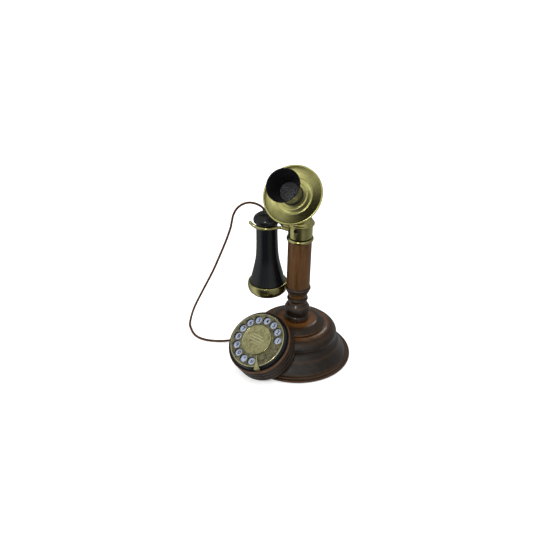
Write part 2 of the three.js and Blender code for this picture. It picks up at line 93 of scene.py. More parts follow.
DIAL_OUT = 88
DIAL_BEARING = 250.3
DIAL_HEIGHT = 63.3
DIAL_FACING = 257.8
DIAL_ELEVATION = 52.8
DIAL_PLATE_R = 43.5
DIAL_HOUSING_R = 50
DIAL_HOUSING_FRONT = -7.5
DIAL_SEAT = -11.5
DIAL_SEAT_R = 46.8
DIAL_HOUSING_BACK = -42.3
HOUSING_LANDS = 4
GROOVE_DEPTH = 2.4
GROOVE_SIDE = 1
KEY_PITCH_R = 33.57
KEY_FIRST = 22
KEY_STEP = 24
KEY_R = 5.6
KEY_TOP = -3.4
KEY_HOLE_R = 6.4
GUIDE_BACK = -3.9

GLAND_BEARING = 194
GLAND_Z = 8.8
CORD_R = 1.8
BRAID_PITCH = 3.4
BRAID_STARTS = 4
BRAID_RELIEF = 0.09
CORD_ROUTE = [
    (-61.0, 0, 240.6), (-64.4, 0, 243.1), (-68.8, 0, 244.9), (-75.4, 0, 246.1),
    (-83.7, 0, 245.7), (-90.6, 0, 243.4), (-97.4, 0, 239.3), (-103.2, 0, 234.0),
    (-108.2, 0, 227.2), (-112.4, 0, 217.6), (-114.8, 0, 206.4), (-117.4, 0, 194.1),
    (-125.0, 0, 171.0), (-137.3, 0, 139.3), (-150.7, 0, 106.6), (-167.0, 0, 72.0),
    (-182.6, -0.2, 38.0), (-188.6, -0.8, 22.0), (-191.4, -3.4, 9.6), (-190.2, -9.4, 3.2),
    (-186.0, -16.8, 2.1), (-179.6, -24.0, 2.1), (-171.4, -32.2, 2.1), (-161.4, -38.6, 2.1),
    (-150.2, -41.4, 2.1), (-137.0, -40.2, 2.1), (-121.5, -35.0, 2.2), (-106.5, -28.0, 3.6),
    (-97.6, -24.4, 7.2), (-89.7, -22.4, 8.8),
]


def turn(degrees, axis):
    return Matrix.Rotation(math.radians(degrees), 4, axis)


def move(x, y, z):
    """A placement that shifts by millimetres."""
    return Matrix.Translation(Vector((x, y, z)) * MM)


def polar(radius, degrees):
    """The (x, y) at a distance and a bearing."""
    return radius * math.cos(math.radians(degrees)), radius * math.sin(math.radians(degrees))


WORLD = Matrix.Identity(4)
TRANSMITTER = move(*TRANSMITTER_CENTRE) @ turn(90 - TRANSMITTER_ELEVATION, "X")
DIAL = (
    move(*polar(DIAL_OUT, DIAL_BEARING), DIAL_HEIGHT)
    @ turn(DIAL_FACING + 90, "Z")
    @ turn(90 - DIAL_ELEVATION, "X")
)
RECEIVER = move(RECEIVER_X, 0, FORK_Z) @ turn(-RECEIVER_TILT, "Y") @ move(0, 0, -FORK_Z)
ALONG_X = turn(90, "Y")
ALONG_Y = turn(-90, "X")

# ---- camera ----
CAMERA_PLACE = Vector((397.4, -981.0, 761.3))
CAMERA_AZIMUTH = 24
CAMERA_ELEVATION = 30.4
CAMERA_ROLL = 1.56
camera_data = bpy.data.cameras.new("camera")
camera_data.lens = 52.36
camera_data.sensor_width = 36
camera = bpy.data.objects.new("camera", camera_data)
bpy.context.scene.collection.objects.link(camera)
camera.matrix_world = (
    move(*CAMERA_PLACE)
    @ turn(CAMERA_AZIMUTH, "Z")
    @ turn(90 - CAMERA_ELEVATION, "X")
    @ turn(CAMERA_ROLL, "Z")
)
bpy.context.scene.camera = camera


# ---- shape helpers ----
def smooth(points, steps):
    """Points of a Catmull-Rom curve through a few points, with so many steps between each pair."""
    known = [Vector(p) for p in points]
    ends = [2 * known[0] - known[1], *known, 2 * known[-1] - known[-2]]
    line = []
    for a, b, c, d in zip(ends, ends[1:], ends[2:], ends[3:]):
        for k in range(steps):
            t = k / steps
            square = (2 * a - 5 * b + 4 * c - d) * t**2
            cube = (3 * b - a - 3 * c + d) * t**3
            line.append(0.5 * (2 * b + (c - a) * t + square + cube))
    return [tuple(p) for p in [*line, known[-1]]]


def arc(radius, height, reach, start, end, steps=8):
    """Points of a bead's arc in a profile."""
    turns = [start + (end - start) * i / steps for i in range(steps + 1)]
    return [(radius + polar(reach, a)[0], height + polar(reach, a)[1]) for a in turns]


def rounded(profile):
    """The profile with each corner that has a third number rounded off by that much."""
    line = []
    for i, point in enumerate(profile):
        if len(point) == 2:
            line.append(Vector(point))
            continue
        here = Vector(point[:2])
        back = Vector(profile[i - 1][:2]) - here
        on = Vector(profile[(i + 1) % len(profile)][:2]) - here
        a = here + back.normalized() * min(point[2], back.length * 0.45)
        b = here + on.normalized() * min(point[2], on.length * 0.45)
        for k in range(FILLET_STEPS + 1):
            t = k / FILLET_STEPS
            line.append((1 - t) ** 2 * a + 2 * t * (1 - t) * here + t**2 * b)
    return line


def mesh_object(name, vertices, faces, place):
    """A placed object from vertices in millimetres, with its faces turned outward."""
    mesh = bpy.data.meshes.new(name)
    mesh.from_pydata([Vector(v) * MM for v in vertices], [], faces)
    shape = bmesh.new()
    shape.from_mesh(mesh)
    bmesh.ops.recalc_face_normals(shape, faces=shape.faces)
    shape.to_mesh(mesh)
    shape.free()
    obj = bpy.data.objects.new(name, mesh)
    bpy.context.scene.collection.objects.link(obj)
    obj.matrix_world = place
    return obj


def lathe(name, profile, place=WORLD, segments=96):
    """A profile of (radius, height) turned about Z. It ends on the axis, or closes on its start."""
    line = rounded(profile)
    vertices, rings = [], []
    for radius, height in line:
        start = len(vertices)
        if radius < 1e-6:
            vertices.append((0, 0, height))
            rings.append([start])
            continue
        vertices += [(*polar(radius, 360 * i / segments), height) for i in range(segments)]
        rings.append(list(range(start, start + segments)))
    pairs = list(zip(rings, rings[1:]))
    if len(rings[0]) > 1:
        pairs.append((rings[-1], rings[0]))
    faces = []
    for low, high in pairs:
        for i in range(segments):
            k = (i + 1) % segments
            corners = [low[i % len(low)], low[k % len(low)], high[k % len(high)], high[i % len(high)]]
            face = list(dict.fromkeys(corners))
            if len(face) > 2:
                faces.append(face)
    return mesh_object(name, vertices, faces, place)


def rod(radius, low, high, place=WORLD, segments=48):
    """A plain round bar for cutting holes."""
    return lathe("rod", [(0, low), (radius, low), (radius, high), (0, high)], place, segments)


def slab(outline, low, high, place=WORLD):
    """A flat outline of (x, y) points with thickness along Z."""
    count = len(outline)
    vertices = [(x, y, z) for z in (low, high) for x, y in outline]
    faces = [list(range(count)), list(range(count, 2 * count))]
    faces += [[i, (i + 1) % count, (i + 1) % count + count, i + count] for i in range(count)]
    return mesh_object("slab", vertices, faces, place)


def box(low, high, place=WORLD):
    (x0, y0, z0), (x1, y1, z1) = low, high
    return slab([(x0, y0), (x1, y0), (x1, y1), (x0, y1)], z0, z1, place)


def sweep(name, line, radius, sides, round_ends=True, relief=None):
    """A tube along a dense line of points, whose radius may vary by relief(distance, angle)."""
    points = [Vector(p) for p in line]
    tangents = [
        (points[min(i + 1, len(points) - 1)] - points[max(i - 1, 0)]).normalized()
        for i in range(len(points))
    ]
    side = tangents[0].orthogonal().normalized()
    sections, run = [], 0.0
    for i, (point, tangent) in enumerate(zip(points, tangents)):
        side = (side - tangent * side.dot(tangent)).normalized()
        run += (point - points[i - 1]).length if i else 0.0
        sections.append((point, tangent, side, run, 1.0))
    if round_ends:
        first, last = sections[0], sections[-1]
        for k in range(1, ROUND_END_STEPS + 1):
            ahead, share = polar(radius, 90 * k / ROUND_END_STEPS)[::-1]
            size = max(share / radius, 0.02)
            sections.insert(0, (first[0] - first[1] * ahead, *first[1:4], size))
            sections.append((last[0] + last[1] * ahead, *last[1:4], size))
    vertices, faces, uvs = [], [], []
    for point, tangent, side, run, size in sections:
        across = tangent.cross(side)
        for k in range(sides):
            angle = 2 * math.pi * k / sides
            reach = radius * size + (relief(run, angle) if relief else 0.0)
            vertices.append(point + (side * math.cos(angle) + across * math.sin(angle)) * reach)
            uvs.append((run * MM, k / sides))
    for i in range(len(sections) - 1):
        for k in range(sides):
            n = (k + 1) % sides
            faces.append([i * sides + k, i * sides + n, (i + 1) * sides + n, (i + 1) * sides + k])
    faces.append(list(range(sides))[::-1])
    faces.append([(len(sections) - 1) * sides + k for k in range(sides)])
    obj = mesh_object(name, vertices, faces, WORLD)
    layer = obj.data.uv_layers.new(name="length_round")
    for loop in obj.data.loops:
        layer.data[loop.index].uv = uvs[loop.vertex_index]
    return obj


def settle(obj):
    """Makes the object's modifiers part of its mesh."""
    depsgraph = bpy.context.evaluated_depsgraph_get()
    mesh = bpy.data.meshes.new_from_object(obj.evaluated_get(depsgraph))
    obj.modifiers.clear()
    obj.data = mesh
    return obj


def mend(obj):
    """Merges points that lie on each other and drops faces with no area."""
    shape = bmesh.new()
    shape.from_mesh(obj.data)
    bmesh.ops.remove_doubles(shape, verts=shape.verts, dist=MERGE_WITHIN)
    bmesh.ops.dissolve_degenerate(shape, edges=shape.edges, dist=MERGE_WITHIN)
    shape.to_mesh(obj.data)
    shape.free()
    return obj


def carve(obj, tools, operation="DIFFERENCE"):
    """Cuts the tools out of the object, or joins them on, and removes them."""
    for tool in tools:
        modifier = obj.modifiers.new("carve", "BOOLEAN")
        modifier.operation = operation
        modifier.solver = "EXACT"
        modifier.object = tool
    settle(obj)
    for tool in tools:
        bpy.data.objects.remove(tool)
    return mend(obj)


def soften(obj, width, segments=3, angle=35):
    """Rounds every edge that is sharper than the angle."""
    modifier = obj.modifiers.new("soften", "BEVEL")
    modifier.width = width * MM
    modifier.segments = segments
    modifier.limit_method = "ANGLE"
    modifier.angle_limit = math.radians(angle)
    modifier.use_clamp_overlap = True
    return settle(obj)


def absorb(obj, other, material_index):
    """Puts the other object's faces into this one's mesh under another of its materials."""
    shape = bmesh.new()
    shape.from_mesh(obj.data)
    own = len(shape.faces)
    other.data.transform(obj.matrix_world.inverted() @ other.matrix_world)
    shape.from_mesh(other.data)
    shape.faces.ensure_lookup_table()
    for face in shape.faces[own:]:
        face.material_index = material_index
    shape.to_mesh(obj.data)
    shape.free()
    bpy.data.objects.remove(other)
    return obj


def wear(obj, spots):
    """Writes how worn each vertex is: the most of the spots (radius, height, reach, strength)."""
    values = []
    for vertex in obj.data.vertices:
        radius = math.hypot(vertex.co.x, vertex.co.y) / MM
        height = vertex.co.z / MM
        most = 0.0
        for r, z, reach, strength in spots:
            near = max(0.0, 1 - math.hypot(radius - r, height - z) / reach)
            most = max(most, strength * near * near * (3 - 2 * near))
        values.append(most)
    layer = obj.data.attributes.new("worn", "FLOAT", "POINT")
    layer.data.foreach_set("value", values)
    return obj


def repaint(obj, chosen):
    """Gives the piece's second material to the faces that chosen(radius, height, normal) picks."""
    for polygon in obj.data.polygons:
        middle = polygon.center / MM
        if chosen(math.hypot(middle.x, middle.y), middle.z, polygon.normal):
            polygon.material_index = 1


# ---- materials ----
def node_adder(tree):
    """A function that adds a node to the tree, with its inputs set or wired, and its settings."""

    def add(kind, inputs=None, **settings):
        node = tree.nodes.new(kind)
        for key, value in settings.items():
            setattr(node, key, value)
        for key, value in (inputs or {}).items():
            if isinstance(value, bpy.types.NodeSocket):
                tree.links.new(value, node.inputs[key])
            else:
                node.inputs[key].default_value = value
        return node

    return add


def material(name, **sockets):
    """A new material, its Principled shader, and functions that add nodes and link them."""
    made = bpy.data.materials.new(name)
    made.use_nodes = True
    tree = made.node_tree
    shader = tree.nodes["Principled BSDF"]
    for socket, value in sockets.items():
        shader.inputs[socket.replace("_", " ")].default_value = value
    return made, shader, node_adder(tree), tree.links.new


def grain_noise(add, stretch, detail=6.0, roughness=0.6, distortion=0.0, vector=None):
    """A noise in the piece's own space, with so many cells to the metre along each axis."""
    place = vector or add("ShaderNodeTexCoord").outputs["Object"]
    spread = add("ShaderNodeMapping", {"Vector": place, "Scale": stretch})
    noise = add(
        "ShaderNodeTexNoise",
        {
            "Vector": spread.outputs["Vector"],
            "Scale": 1.0,
            "Detail": detail,
            "Roughness": roughness,
            "Distortion": distortion,
        },
    )
    return noise.outputs["Fac"]


def ramp(add, value, *stops):
    """Colours at places along a value from 0 to 1."""
    node = add("ShaderNodeValToRGB", {"Fac": value})
    elements = node.color_ramp.elements
    while len(elements) < len(stops):
        elements.new(0.5)
    for element, (at, colour) in zip(elements, stops):
        element.position = at
        element.color = (*colour, 1) if isinstance(colour, tuple) else (colour,) * 3 + (1,)
    return node.outputs["Color"]


def mix(add, share, a, b):
    """Colour a turned into colour b by share, where each is a colour or a node's output."""
    node = add("ShaderNodeMix", {0: share}, data_type="RGBA")
    for key, value in ((6, a), (7, b)):
        if isinstance(value, bpy.types.NodeSocket):
            node.id_data.links.new(value, node.inputs[key])
        else:
            node.inputs[key].default_value = (*value, 1)
    return node.outputs[2]


def span(add, value, low, high):
    """The value's 0 to 1 turned into low to high."""
    node = add("ShaderNodeMapRange", {"Value": value, "To Min": low, "To Max": high})
    return node.outputs["Result"]


def sums(add, operation, *values):
    """The result of one step of arithmetic on values or nodes' outputs."""
    return add("ShaderNodeMath", dict(enumerate(values)), operation=operation).outputs[0]


def times(add, a, b):
    return sums(add, "MULTIPLY", a, b)


def halfway(one, other):
    return tuple((a + b) / 2 for a, b in zip(one, other))


def bump(add, height, distance, strength=1.0, under=None):
    inputs = {"Height": height, "Distance": distance * MM, "Strength": strength}
    if under is not None:
        inputs["Normal"] = under
    return add("ShaderNodeBump", inputs).outputs["Normal"]


def round_coords(add):
    """(distance from the axis, height) of the piece's own space, the same all the way round."""
    parts = add("ShaderNodeSeparateXYZ", {0: add("ShaderNodeTexCoord").outputs["Object"]})
    flat = add("ShaderNodeCombineXYZ", {"X": parts.outputs["X"], "Y": parts.outputs["Y"]})
    reach = add("ShaderNodeVectorMath", {0: flat.outputs[0]}, operation="LENGTH").outputs["Value"]
    return add("ShaderNodeCombineXYZ", {"X": reach, "Y": parts.outputs["Z"]}).outputs[0]


def wood(name, along, dark, light, worn, rough=(0.24, 0.4), coat=0.35):
    """Stained, lacquered wood with its grain along one axis, browner where it is worn."""
    made, shader, add, link = material(
        name, Coat_Weight=coat, Coat_Roughness=0.09, Specular_IOR_Level=0.3
    )
    cells_across, cells_along = 190.0, 16.0
    stretch = tuple(cells_along if axis == along else cells_across for axis in "XYZ")
    fine = tuple(7 * s for s in stretch)
    bands = grain_noise(add, stretch, 4.0, 0.55, 0.6)
    fibres = grain_noise(add, fine, 5.0, 0.7)
    patches = grain_noise(add, (30, 30, 30), 3.0)
    figure = mix(add, 0.45, bands, fibres)
    stain = ramp(add, figure, (0.34, dark), (0.52, halfway(dark, light)), (0.7, light))
    rubbed = ramp(add, figure, (0.3, tuple(0.45 * c for c in worn)), (0.62, worn))
    tone = add("ShaderNodeAttribute", attribute_name="worn").outputs["Fac"]
    share = times(add, tone, span(add, patches, 0.35, 1.5))
    held = add("ShaderNodeClamp", {"Value": share}).outputs[0]
    link(mix(add, held, stain, rubbed), shader.inputs["Base Color"])
    link(span(add, patches, *rough), shader.inputs["Roughness"])
    pores = ramp(add, fibres, (0.3, 0.0), (0.46, 1.0))
    link(bump(add, pores, 0.12, 0.35), shader.inputs["Normal"])
    return made


def brass(name, bright, dull, rough=(0.08, 0.2), lines=0.5, spin=0.45):
    """Lathe-turned brass with fine rings, patches of tarnish and a softer sheen round the turning."""
    made, shader, add, link = material(name, Metallic=1.0, Anisotropic=spin)
    rings = grain_noise(add, (2600, 2600, 1), 3.0, 0.7, 0.0, round_coords(add))
    cloud = grain_noise(add, (60, 60, 60), 7.0, 0.65)
    specks = grain_noise(add, (700, 700, 700), 4.0, 0.6)
    dirt = ramp(add, cloud, (0.42, 0.0), (0.62, 1.0))
    stain = times(add, dirt, span(add, specks, 0.3, 1.2))
    link(mix(add, stain, bright, dull), shader.inputs["Base Color"])
    link(span(add, cloud, *rough), shader.inputs["Roughness"])
    link(bump(add, rings, 0.02, lines), shader.inputs["Normal"])
    around = add("ShaderNodeTangent", direction_type="RADIAL", axis="Z")
    link(around.outputs[0], shader.inputs["Tangent"])
    return made


def mottled(name, bright, dark, share):
    """Antique brass: rubbed metal under dark specks and blotches, which cover about that share."""
    made, shader, add, link = material(name, Metallic=1.0)
    blotches = grain_noise(add, (170, 170, 170), 4.0, 0.6, 0.5)
    specks = grain_noise(add, (620, 620, 620), 5.0, 0.75)
    stain = mix(add, 0.55, blotches, specks)
    tone = ramp(add, stain, (share - 0.12, dark), (share, halfway(bright, dark)), (share + 0.09, bright))
    link(tone, shader.inputs["Base Color"])
    link(span(add, stain, 0.52, 0.2), shader.inputs["Roughness"])
    link(bump(add, stain, 0.12, 0.6), shader.inputs["Normal"])
    return made


def gloss(name, colour, rough=(0.08, 0.2), peel=0.02, specular=0.5):
    """Gloss moulded plastic with faint smears and an uneven surface."""
    made, shader, add, link = material(name, Specular_IOR_Level=specular)
    smears = grain_noise(add, (45, 45, 22), 5.0, 0.6, 0.4)
    dust = grain_noise(add, (900, 900, 900), 2.0)
    lighter = tuple(c * 1.6 + 0.001 for c in colour)
    link(ramp(add, smears, (0.35, colour), (0.8, lighter)), shader.inputs["Base Color"])
    link(span(add, smears, *rough), shader.inputs["Roughness"])
    link(bump(add, dust, peel, 0.5), shader.inputs["Normal"])
    return made


def speckled(name, colour, other, cells, rough, depth, metal=0.0, **more):
    """An even material with fine grain: felt, rubber, cast iron, steel or circuit board."""
    made, shader, add, link = material(name, Metallic=metal, **more)
    grain = grain_noise(add, (cells, cells, cells), 5.0, 0.65)
    link(ramp(add, grain, (0.38, colour), (0.64, other)), shader.inputs["Base Color"])
    link(span(add, grain, *rough), shader.inputs["Roughness"])
    link(bump(add, grain, depth, 0.6), shader.inputs["Normal"])
    return made


def braid(name, thread, gap):
    """Plaited cotton: two sets of threads that wind opposite ways round the cord."""
    made, shader, add, link = material(name, Specular_IOR_Level=0.2)
    parts = add("ShaderNodeSeparateXYZ", {0: add("ShaderNodeTexCoord").outputs["UV"]})
    run = times(add, parts.outputs["X"], 2 * math.pi / (BRAID_PITCH * MM))
    waves = []
    for way in (1, -1):
        wound = times(add, parts.outputs["Y"], way * 2 * math.pi * BRAID_STARTS)
        waves.append(sums(add, "SINE", sums(add, "ADD", run, wound)))
    plait = times(add, *waves)
    fuzz = grain_noise(add, (1500, 1500, 1500), 4.0)
    weave = add("ShaderNodeMapRange", {"Value": plait, "From Min": -1.0, "From Max": 1.0}).outputs["Result"]
    shade = mix(add, 0.3, weave, fuzz)
    link(ramp(add, shade, (0.25, gap), (0.65, thread)), shader.inputs["Base Color"])
    link(span(add, fuzz, 0.7, 0.95), shader.inputs["Roughness"])
    link(bump(add, shade, 0.15, 0.6), shader.inputs["Normal"])
    return made


# Stained wood as (dark, light, worn) and brass as one colour each.
DARK_WALNUT = ((0.004, 0.003, 0.0022), (0.017, 0.0105, 0.0055), (0.115, 0.046, 0.011))
SHAFT_WALNUT = ((0.018, 0.008, 0.002), (0.11, 0.046, 0.009), (0.12, 0.048, 0.009))
DISC_WALNUT = ((0.007, 0.0045, 0.003), (0.03, 0.016, 0.0065), (0.14, 0.055, 0.011))
BRIGHT_BRASS = (0.62, 0.585, 0.25)
DULL_BRASS = (0.42, 0.385, 0.15)

looks = {
    "dark_wood": wood("dark_walnut", "X", *DARK_WALNUT),
    "brown_wood": wood("brown_walnut", "X", *DISC_WALNUT),
    "brass": brass("olive_brass", BRIGHT_BRASS, DULL_BRASS),
    "antique_brass": mottled("antique_brass", (0.58, 0.55, 0.28), (0.16, 0.145, 0.065), 0.45),
    "black_gloss": gloss("gloss_black", (0.003, 0.0033, 0.004)),
    "black_rubber": speckled(
        "black_rubber", (0.012, 0.012, 0.012), (0.022, 0.022, 0.022), 800, (0.5, 0.75), 0.05
    ),
    "steel": speckled("steel", (0.3, 0.3, 0.3), (0.42, 0.42, 0.42), 400, (0.25, 0.45), 0.02, 1.0),
    "iron": speckled("cast_iron", (0.05, 0.05, 0.05), (0.09, 0.09, 0.09), 500, (0.55, 0.8), 0.1, 1.0),
    "board": speckled("circuit_board", (0.012, 0.09, 0.035), (0.02, 0.13, 0.055), 350, (0.35, 0.5), 0.02),
    "key_plastic": gloss("pale_key", (0.27, 0.31, 0.4), (0.2, 0.32), 0.01),
    "felt": speckled(
        "green_felt", (0.008, 0.02, 0.01), (0.02, 0.045, 0.02), 1200, (0.85, 1.0), 0.25, Sheen_Weight=0.3
    ),
    "cord_fabric": braid("braided_cotton", (0.075, 0.026, 0.008), (0.012, 0.005, 0.002)),
}
plate_brass = mottled("plate_brass", (0.44, 0.415, 0.24), (0.09, 0.08, 0.045), 0.52)
# Pale brass that is partly rubbed wear and partly a painted highlight: on the finger plate's hole lips and
# rim, and the dial disc's raised bars and rim.
rubbed_and_highlit_brass = brass("rubbed_and_highlit_brass", (0.8, 0.77, 0.46), (0.55, 0.52, 0.27), (0.12, 0.26), lines=0.1, spin=0.0)
faceplate_brass = brass(
    "faceplate_brass", (0.76, 0.73, 0.29), (0.6, 0.56, 0.2), (0.16, 0.28), lines=0.4, spin=0.8
)
shaft_wood = wood("shaft_walnut", "Z", *SHAFT_WALNUT, coat=0.08)
upright_wood = wood("upright_walnut", "Z", *DARK_WALNUT)
# Dark brass that paints shade: in the collar's seams and on the finger stop's shaded side.
brass_painted_shade = speckled("brass_painted_shade", (0.03, 0.026, 0.012), (0.07, 0.06, 0.025), 500, (0.35, 0.6), 0.03, 1.0)
dark_screw = speckled("dark_screw", (0.02, 0.019, 0.017), (0.06, 0.055, 0.045), 600, (0.3, 0.5), 0.03, 1.0)
grille_grey = speckled("grille_grey", (0.006, 0.006, 0.007), (0.07, 0.072, 0.08), 700, (0.16, 0.4), 0.12, 0.3)
# Near black that paints shade down in the dial housing's grooves.
groove_painted_shade = speckled("groove_painted_shade", (0.0015, 0.0012, 0.001), (0.004, 0.003, 0.002), 600, (0.6, 0.8), 0.05)
horn_black = gloss("horn_black", (0.0055, 0.0055, 0.006), (0.12, 0.28), 0.02, specular=0.22)
ink = speckled("dark_ink", (0.004, 0.004, 0.007), (0.01, 0.01, 0.016), 900, (0.35, 0.5), 0.01)


def finish_piece(obj, name, body, slot, nodes, materials=None, angle=32):
    """Names the piece, shades it, and tells the frame what it rides on and stands for."""
    obj.name = name
    obj.data.name = name
    kept = list(obj.data.materials)
    for index, look in enumerate(materials or [looks[slot]]):
        if index < len(kept):
            obj.data.materials[index] = look
        else:
            obj.data.materials.append(look)
    obj.data.polygons.foreach_set("use_smooth", [True] * len(obj.data.polygons))
    obj.data.set_sharp_from_angle(angle=math.radians(angle))
    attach(obj, body)
    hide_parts(*nodes)
    return obj


# ---- cord ----
def even_line(points, step):
    """The points of a line, spaced evenly along it."""
    line = [Vector(p) for p in points]
    spaced, carried = [line[0]], 0.0
    for a, b in zip(line, line[1:]):
        length = (b - a).length
        at = step - carried
        while at <= length:
            spaced.append(a.lerp(b, at / length))
            at += step
        carried = (carried + length) % step
    spaced.append(line[-1])
    return spaced


def plait_relief(run, angle):
    """How far the plait's surface lies under its highest point."""
    along = 2 * math.pi * run / BRAID_PITCH
    wound = BRAID_STARTS * angle
    return BRAID_RELIEF * (math.sin(along + wound) * math.sin(along - wound) - 1)


cord_line = even_line(smooth(CORD_ROUTE, 12), 0.42)
cord = sweep("cord", cord_line, CORD_R + BRAID_RELIEF, 20, round_ends=False, relief=plait_relief)
finish_piece(cord, "receiver_cord_braided", "receiver", "cord_fabric", ["receiver_cord"], angle=80)

GLAND_FACE = 92
gland = lathe(
    "gland",
    [(0, 66), (4.1, 66), (4.1, 83, 0.5)]
    + [(3.9 - 0.16 * i + (0.0 if i % 2 else -0.5), 84 + i) for i in range(8)]
    + [(2.5, GLAND_FACE, 0.4), (0, GLAND_FACE)],
    move(0, 0, GLAND_Z) @ turn(GLAND_BEARING, "Z") @ ALONG_X,
    40,
)
finish_piece(gland, "cord_gland_ribbed", "base", "black_rubber", ["cord_gland"])

# ---- base ----
SKIRT_OUTER = [
    (BASE_R, PAD_TOP, 0.5),
    (BASE_R, 3.8, 1.1),
    (83.4, 4.7),
    (83, 6.4, 0.7),
    (79.8, 7.2),
    *smooth([(79.2, 9), (76.6, 13), (72.4, 19), (69, 24.5)], 6),
    *smooth([(68.2, 26.4), (64.2, 30.6), (61.8, 35), (61.4, SKIRT_TOP)], 6),
]
RING_OUTER = smooth([(62.4, 39.6), (64, 41.6), (62.9, 46.4), (58.6, 51.6), (50.8, 55.4), (44, RING_TOP)], 7)
DISC_OUTER = smooth(
    [(43.2, 56.6), (44.3, 57.7), (43.6, 59), (41, 60.6), (37, 63), (32.6, 64.8), (29, DISC_TOP)], 5
)
SKIRT_INNER = [(ROD_HOLE_R, SKIRT_TOP), (ROD_HOLE_R, 31.5), (46, 31.5), (60, 22), (66.5, 12), (68, 4.1)]

skirt = lathe("skirt", [*SKIRT_OUTER, *SKIRT_INNER, (76.3, 4.1), (76.3, PAD_TOP)], segments=160)
carve(
    skirt,
    [
        box((-7.3, 58, 7.2), (7.3, 95, 18.3)),
        rod(4.4, 50, 95, move(0, 0, GLAND_Z) @ turn(GLAND_BEARING, "Z") @ ALONG_X, 32),
    ],
)
wear(
    skirt,
    [
        (BASE_R, 3.6, 1.8, 0.75),
        (83, 6.4, 1.5, 0.6),
        (79.4, 8.6, 2.2, 0.35),
        (68.6, 25.4, 3.0, 0.25),
        (86, 1.6, 3.0, 0.5),
    ],
)
finish_piece(skirt, "base_skirt_turned", "base", "dark_wood", ["base_skirt"])

ring = lathe("ring", [(ROD_HOLE_R, 39.6), *RING_OUTER, (30, RING_TOP), (ROD_HOLE_R, RING_TOP)], segments=144)
wear(ring, [(48.5, 55.6, 8.0, 0.8), (58, 51.8, 6.0, 0.2), (63.9, 42, 2.0, 0.2)])
finish_piece(ring, "base_ring_turned", "base", "dark_wood", ["base_ring"])

disc_flats = [(24, DISC_TOP), (20, DISC_TOP), (ROD_HOLE_R, DISC_TOP)]
disc = lathe("disc", [(ROD_HOLE_R, 56.6), *DISC_OUTER, *disc_flats], segments=128)
wear(disc, [(25, DISC_TOP, 9.0, 1.1), (18, DISC_TOP, 9.0, 1.0), (44, 57.9, 1.6, 0.8)])
finish_piece(disc, "top_disc_turned", "base", "brown_wood", ["top_disc"])

pad = lathe("pad", [(0, 0), (PAD_R, 0, 0.5), (PAD_R, PAD_TOP - GAP, 0.4), (0, PAD_TOP - GAP)], segments=128)
finish_piece(pad, "felt_pad_cut", "base", "felt", ["felt_pad"])

jack = carve(
    box((-7, 62, 7.5), (7, 79.5, 18)),
    [box((-5.2, 69, 9.2), (5.2, 82, 15)), box((-2.2, 69, 14.8), (2.2, 82, 16.4))],
)
finish_piece(soften(jack, 0.35), "line_jack_socket", "base", "black_gloss", ["line_jack"])

# ---- column ----
BALUSTER_OUTER = [
    (18.8, DISC_TOP + GAP, 0.4),
    *smooth([(19.4, 67), (19.5, 69), (19, 71.6), (17.8, 73.6), (16.6, 74.4)], 3),
    *smooth([(17.6, 76), (20, 82.6), (18, 89), (14.1, 95)], 7),
    *smooth([(13.6, 97), (13.6, 98.8)], 2),
    *arc(14, 101.6, 2.3, -75, 75, 9),
    *smooth([(13.9, 104.6), (14.7, 106.6), (15.8, 111.4), (18.2, 116.6), (18.0, 118.2)], 5),
    *arc(17.4, 121, 2.4, -70, 70, 9),
]
BULB_BITE_R = 20.4
bore_ends = [(17.6, BALUSTER_TOP), (ROD_HOLE_R, BALUSTER_TOP)]
baluster = lathe(
    "baluster", [(ROD_HOLE_R, DISC_TOP + GAP), *BALUSTER_OUTER, *bore_ends], segments=88
)
wear(
    baluster,
    [
        (19.5, 69, 2.4, 0.35),
        (17, 90, 4.0, 0.35),
        (13.8, 96, 3.0, 0.5),
        (16.3, 101.6, 1.6, 0.35),
        (15.4, 109, 5.0, 0.8),
        (17.4, 114, 3.5, 0.6),
        (19.4, 122.4, 1.6, 0.4),
    ],
)
finish_piece(baluster, "column_baluster_turned", "base", "dark_wood", ["column_baluster"], [upright_wood])

shaft_low = BALUSTER_TOP + GAP
shaft_steps = [(COLUMN_R, shaft_low + (SHAFT_TOP - shaft_low) * i / 12) for i in range(13)]
shaft = lathe("shaft", [(ROD_HOLE_R, shaft_low), *shaft_steps, (ROD_HOLE_R, SHAFT_TOP)], segments=88)
wear(shaft, [(COLUMN_R, 160, 60, 0.4)])
finish_piece(shaft, "column_shaft_turned", "base", "brown_wood", ["column_shaft"], [shaft_wood])

# ---- collar ----
FERRULE_TOP = 210.1
NUT_SEAT = 209.3
ferrule = lathe(
    "ferrule",
    [
        (COLUMN_R + GAP, 203.2),
        (18.7, 203.2, 0.2),
        *arc(17.6, 206.1, 2.9, -65, 65, 12),
        (17.2, 208.9),
        (16.9, 209.1),
        (16.9, FERRULE_TOP),
        (10, FERRULE_TOP),
        (10, NUT_SEAT),
        (ROD_HOLE_R, NUT_SEAT),
        (ROD_HOLE_R, SHAFT_TOP + GAP),
        (COLUMN_R + GAP, SHAFT_TOP + GAP),
    ],
)
brass_with_painted_seam_shade = [looks["brass"], brass_painted_shade]
finish_piece(ferrule, "collar_ferrule_turned", "base", "brass", ["collar_ferrule"], brass_with_painted_seam_shade)
# The ferrule's neck and the top of its bead, under the sleeve, are painted dark as shade.
repaint(ferrule, lambda radius, height, normal: height > 208.2 and radius < 18.5)

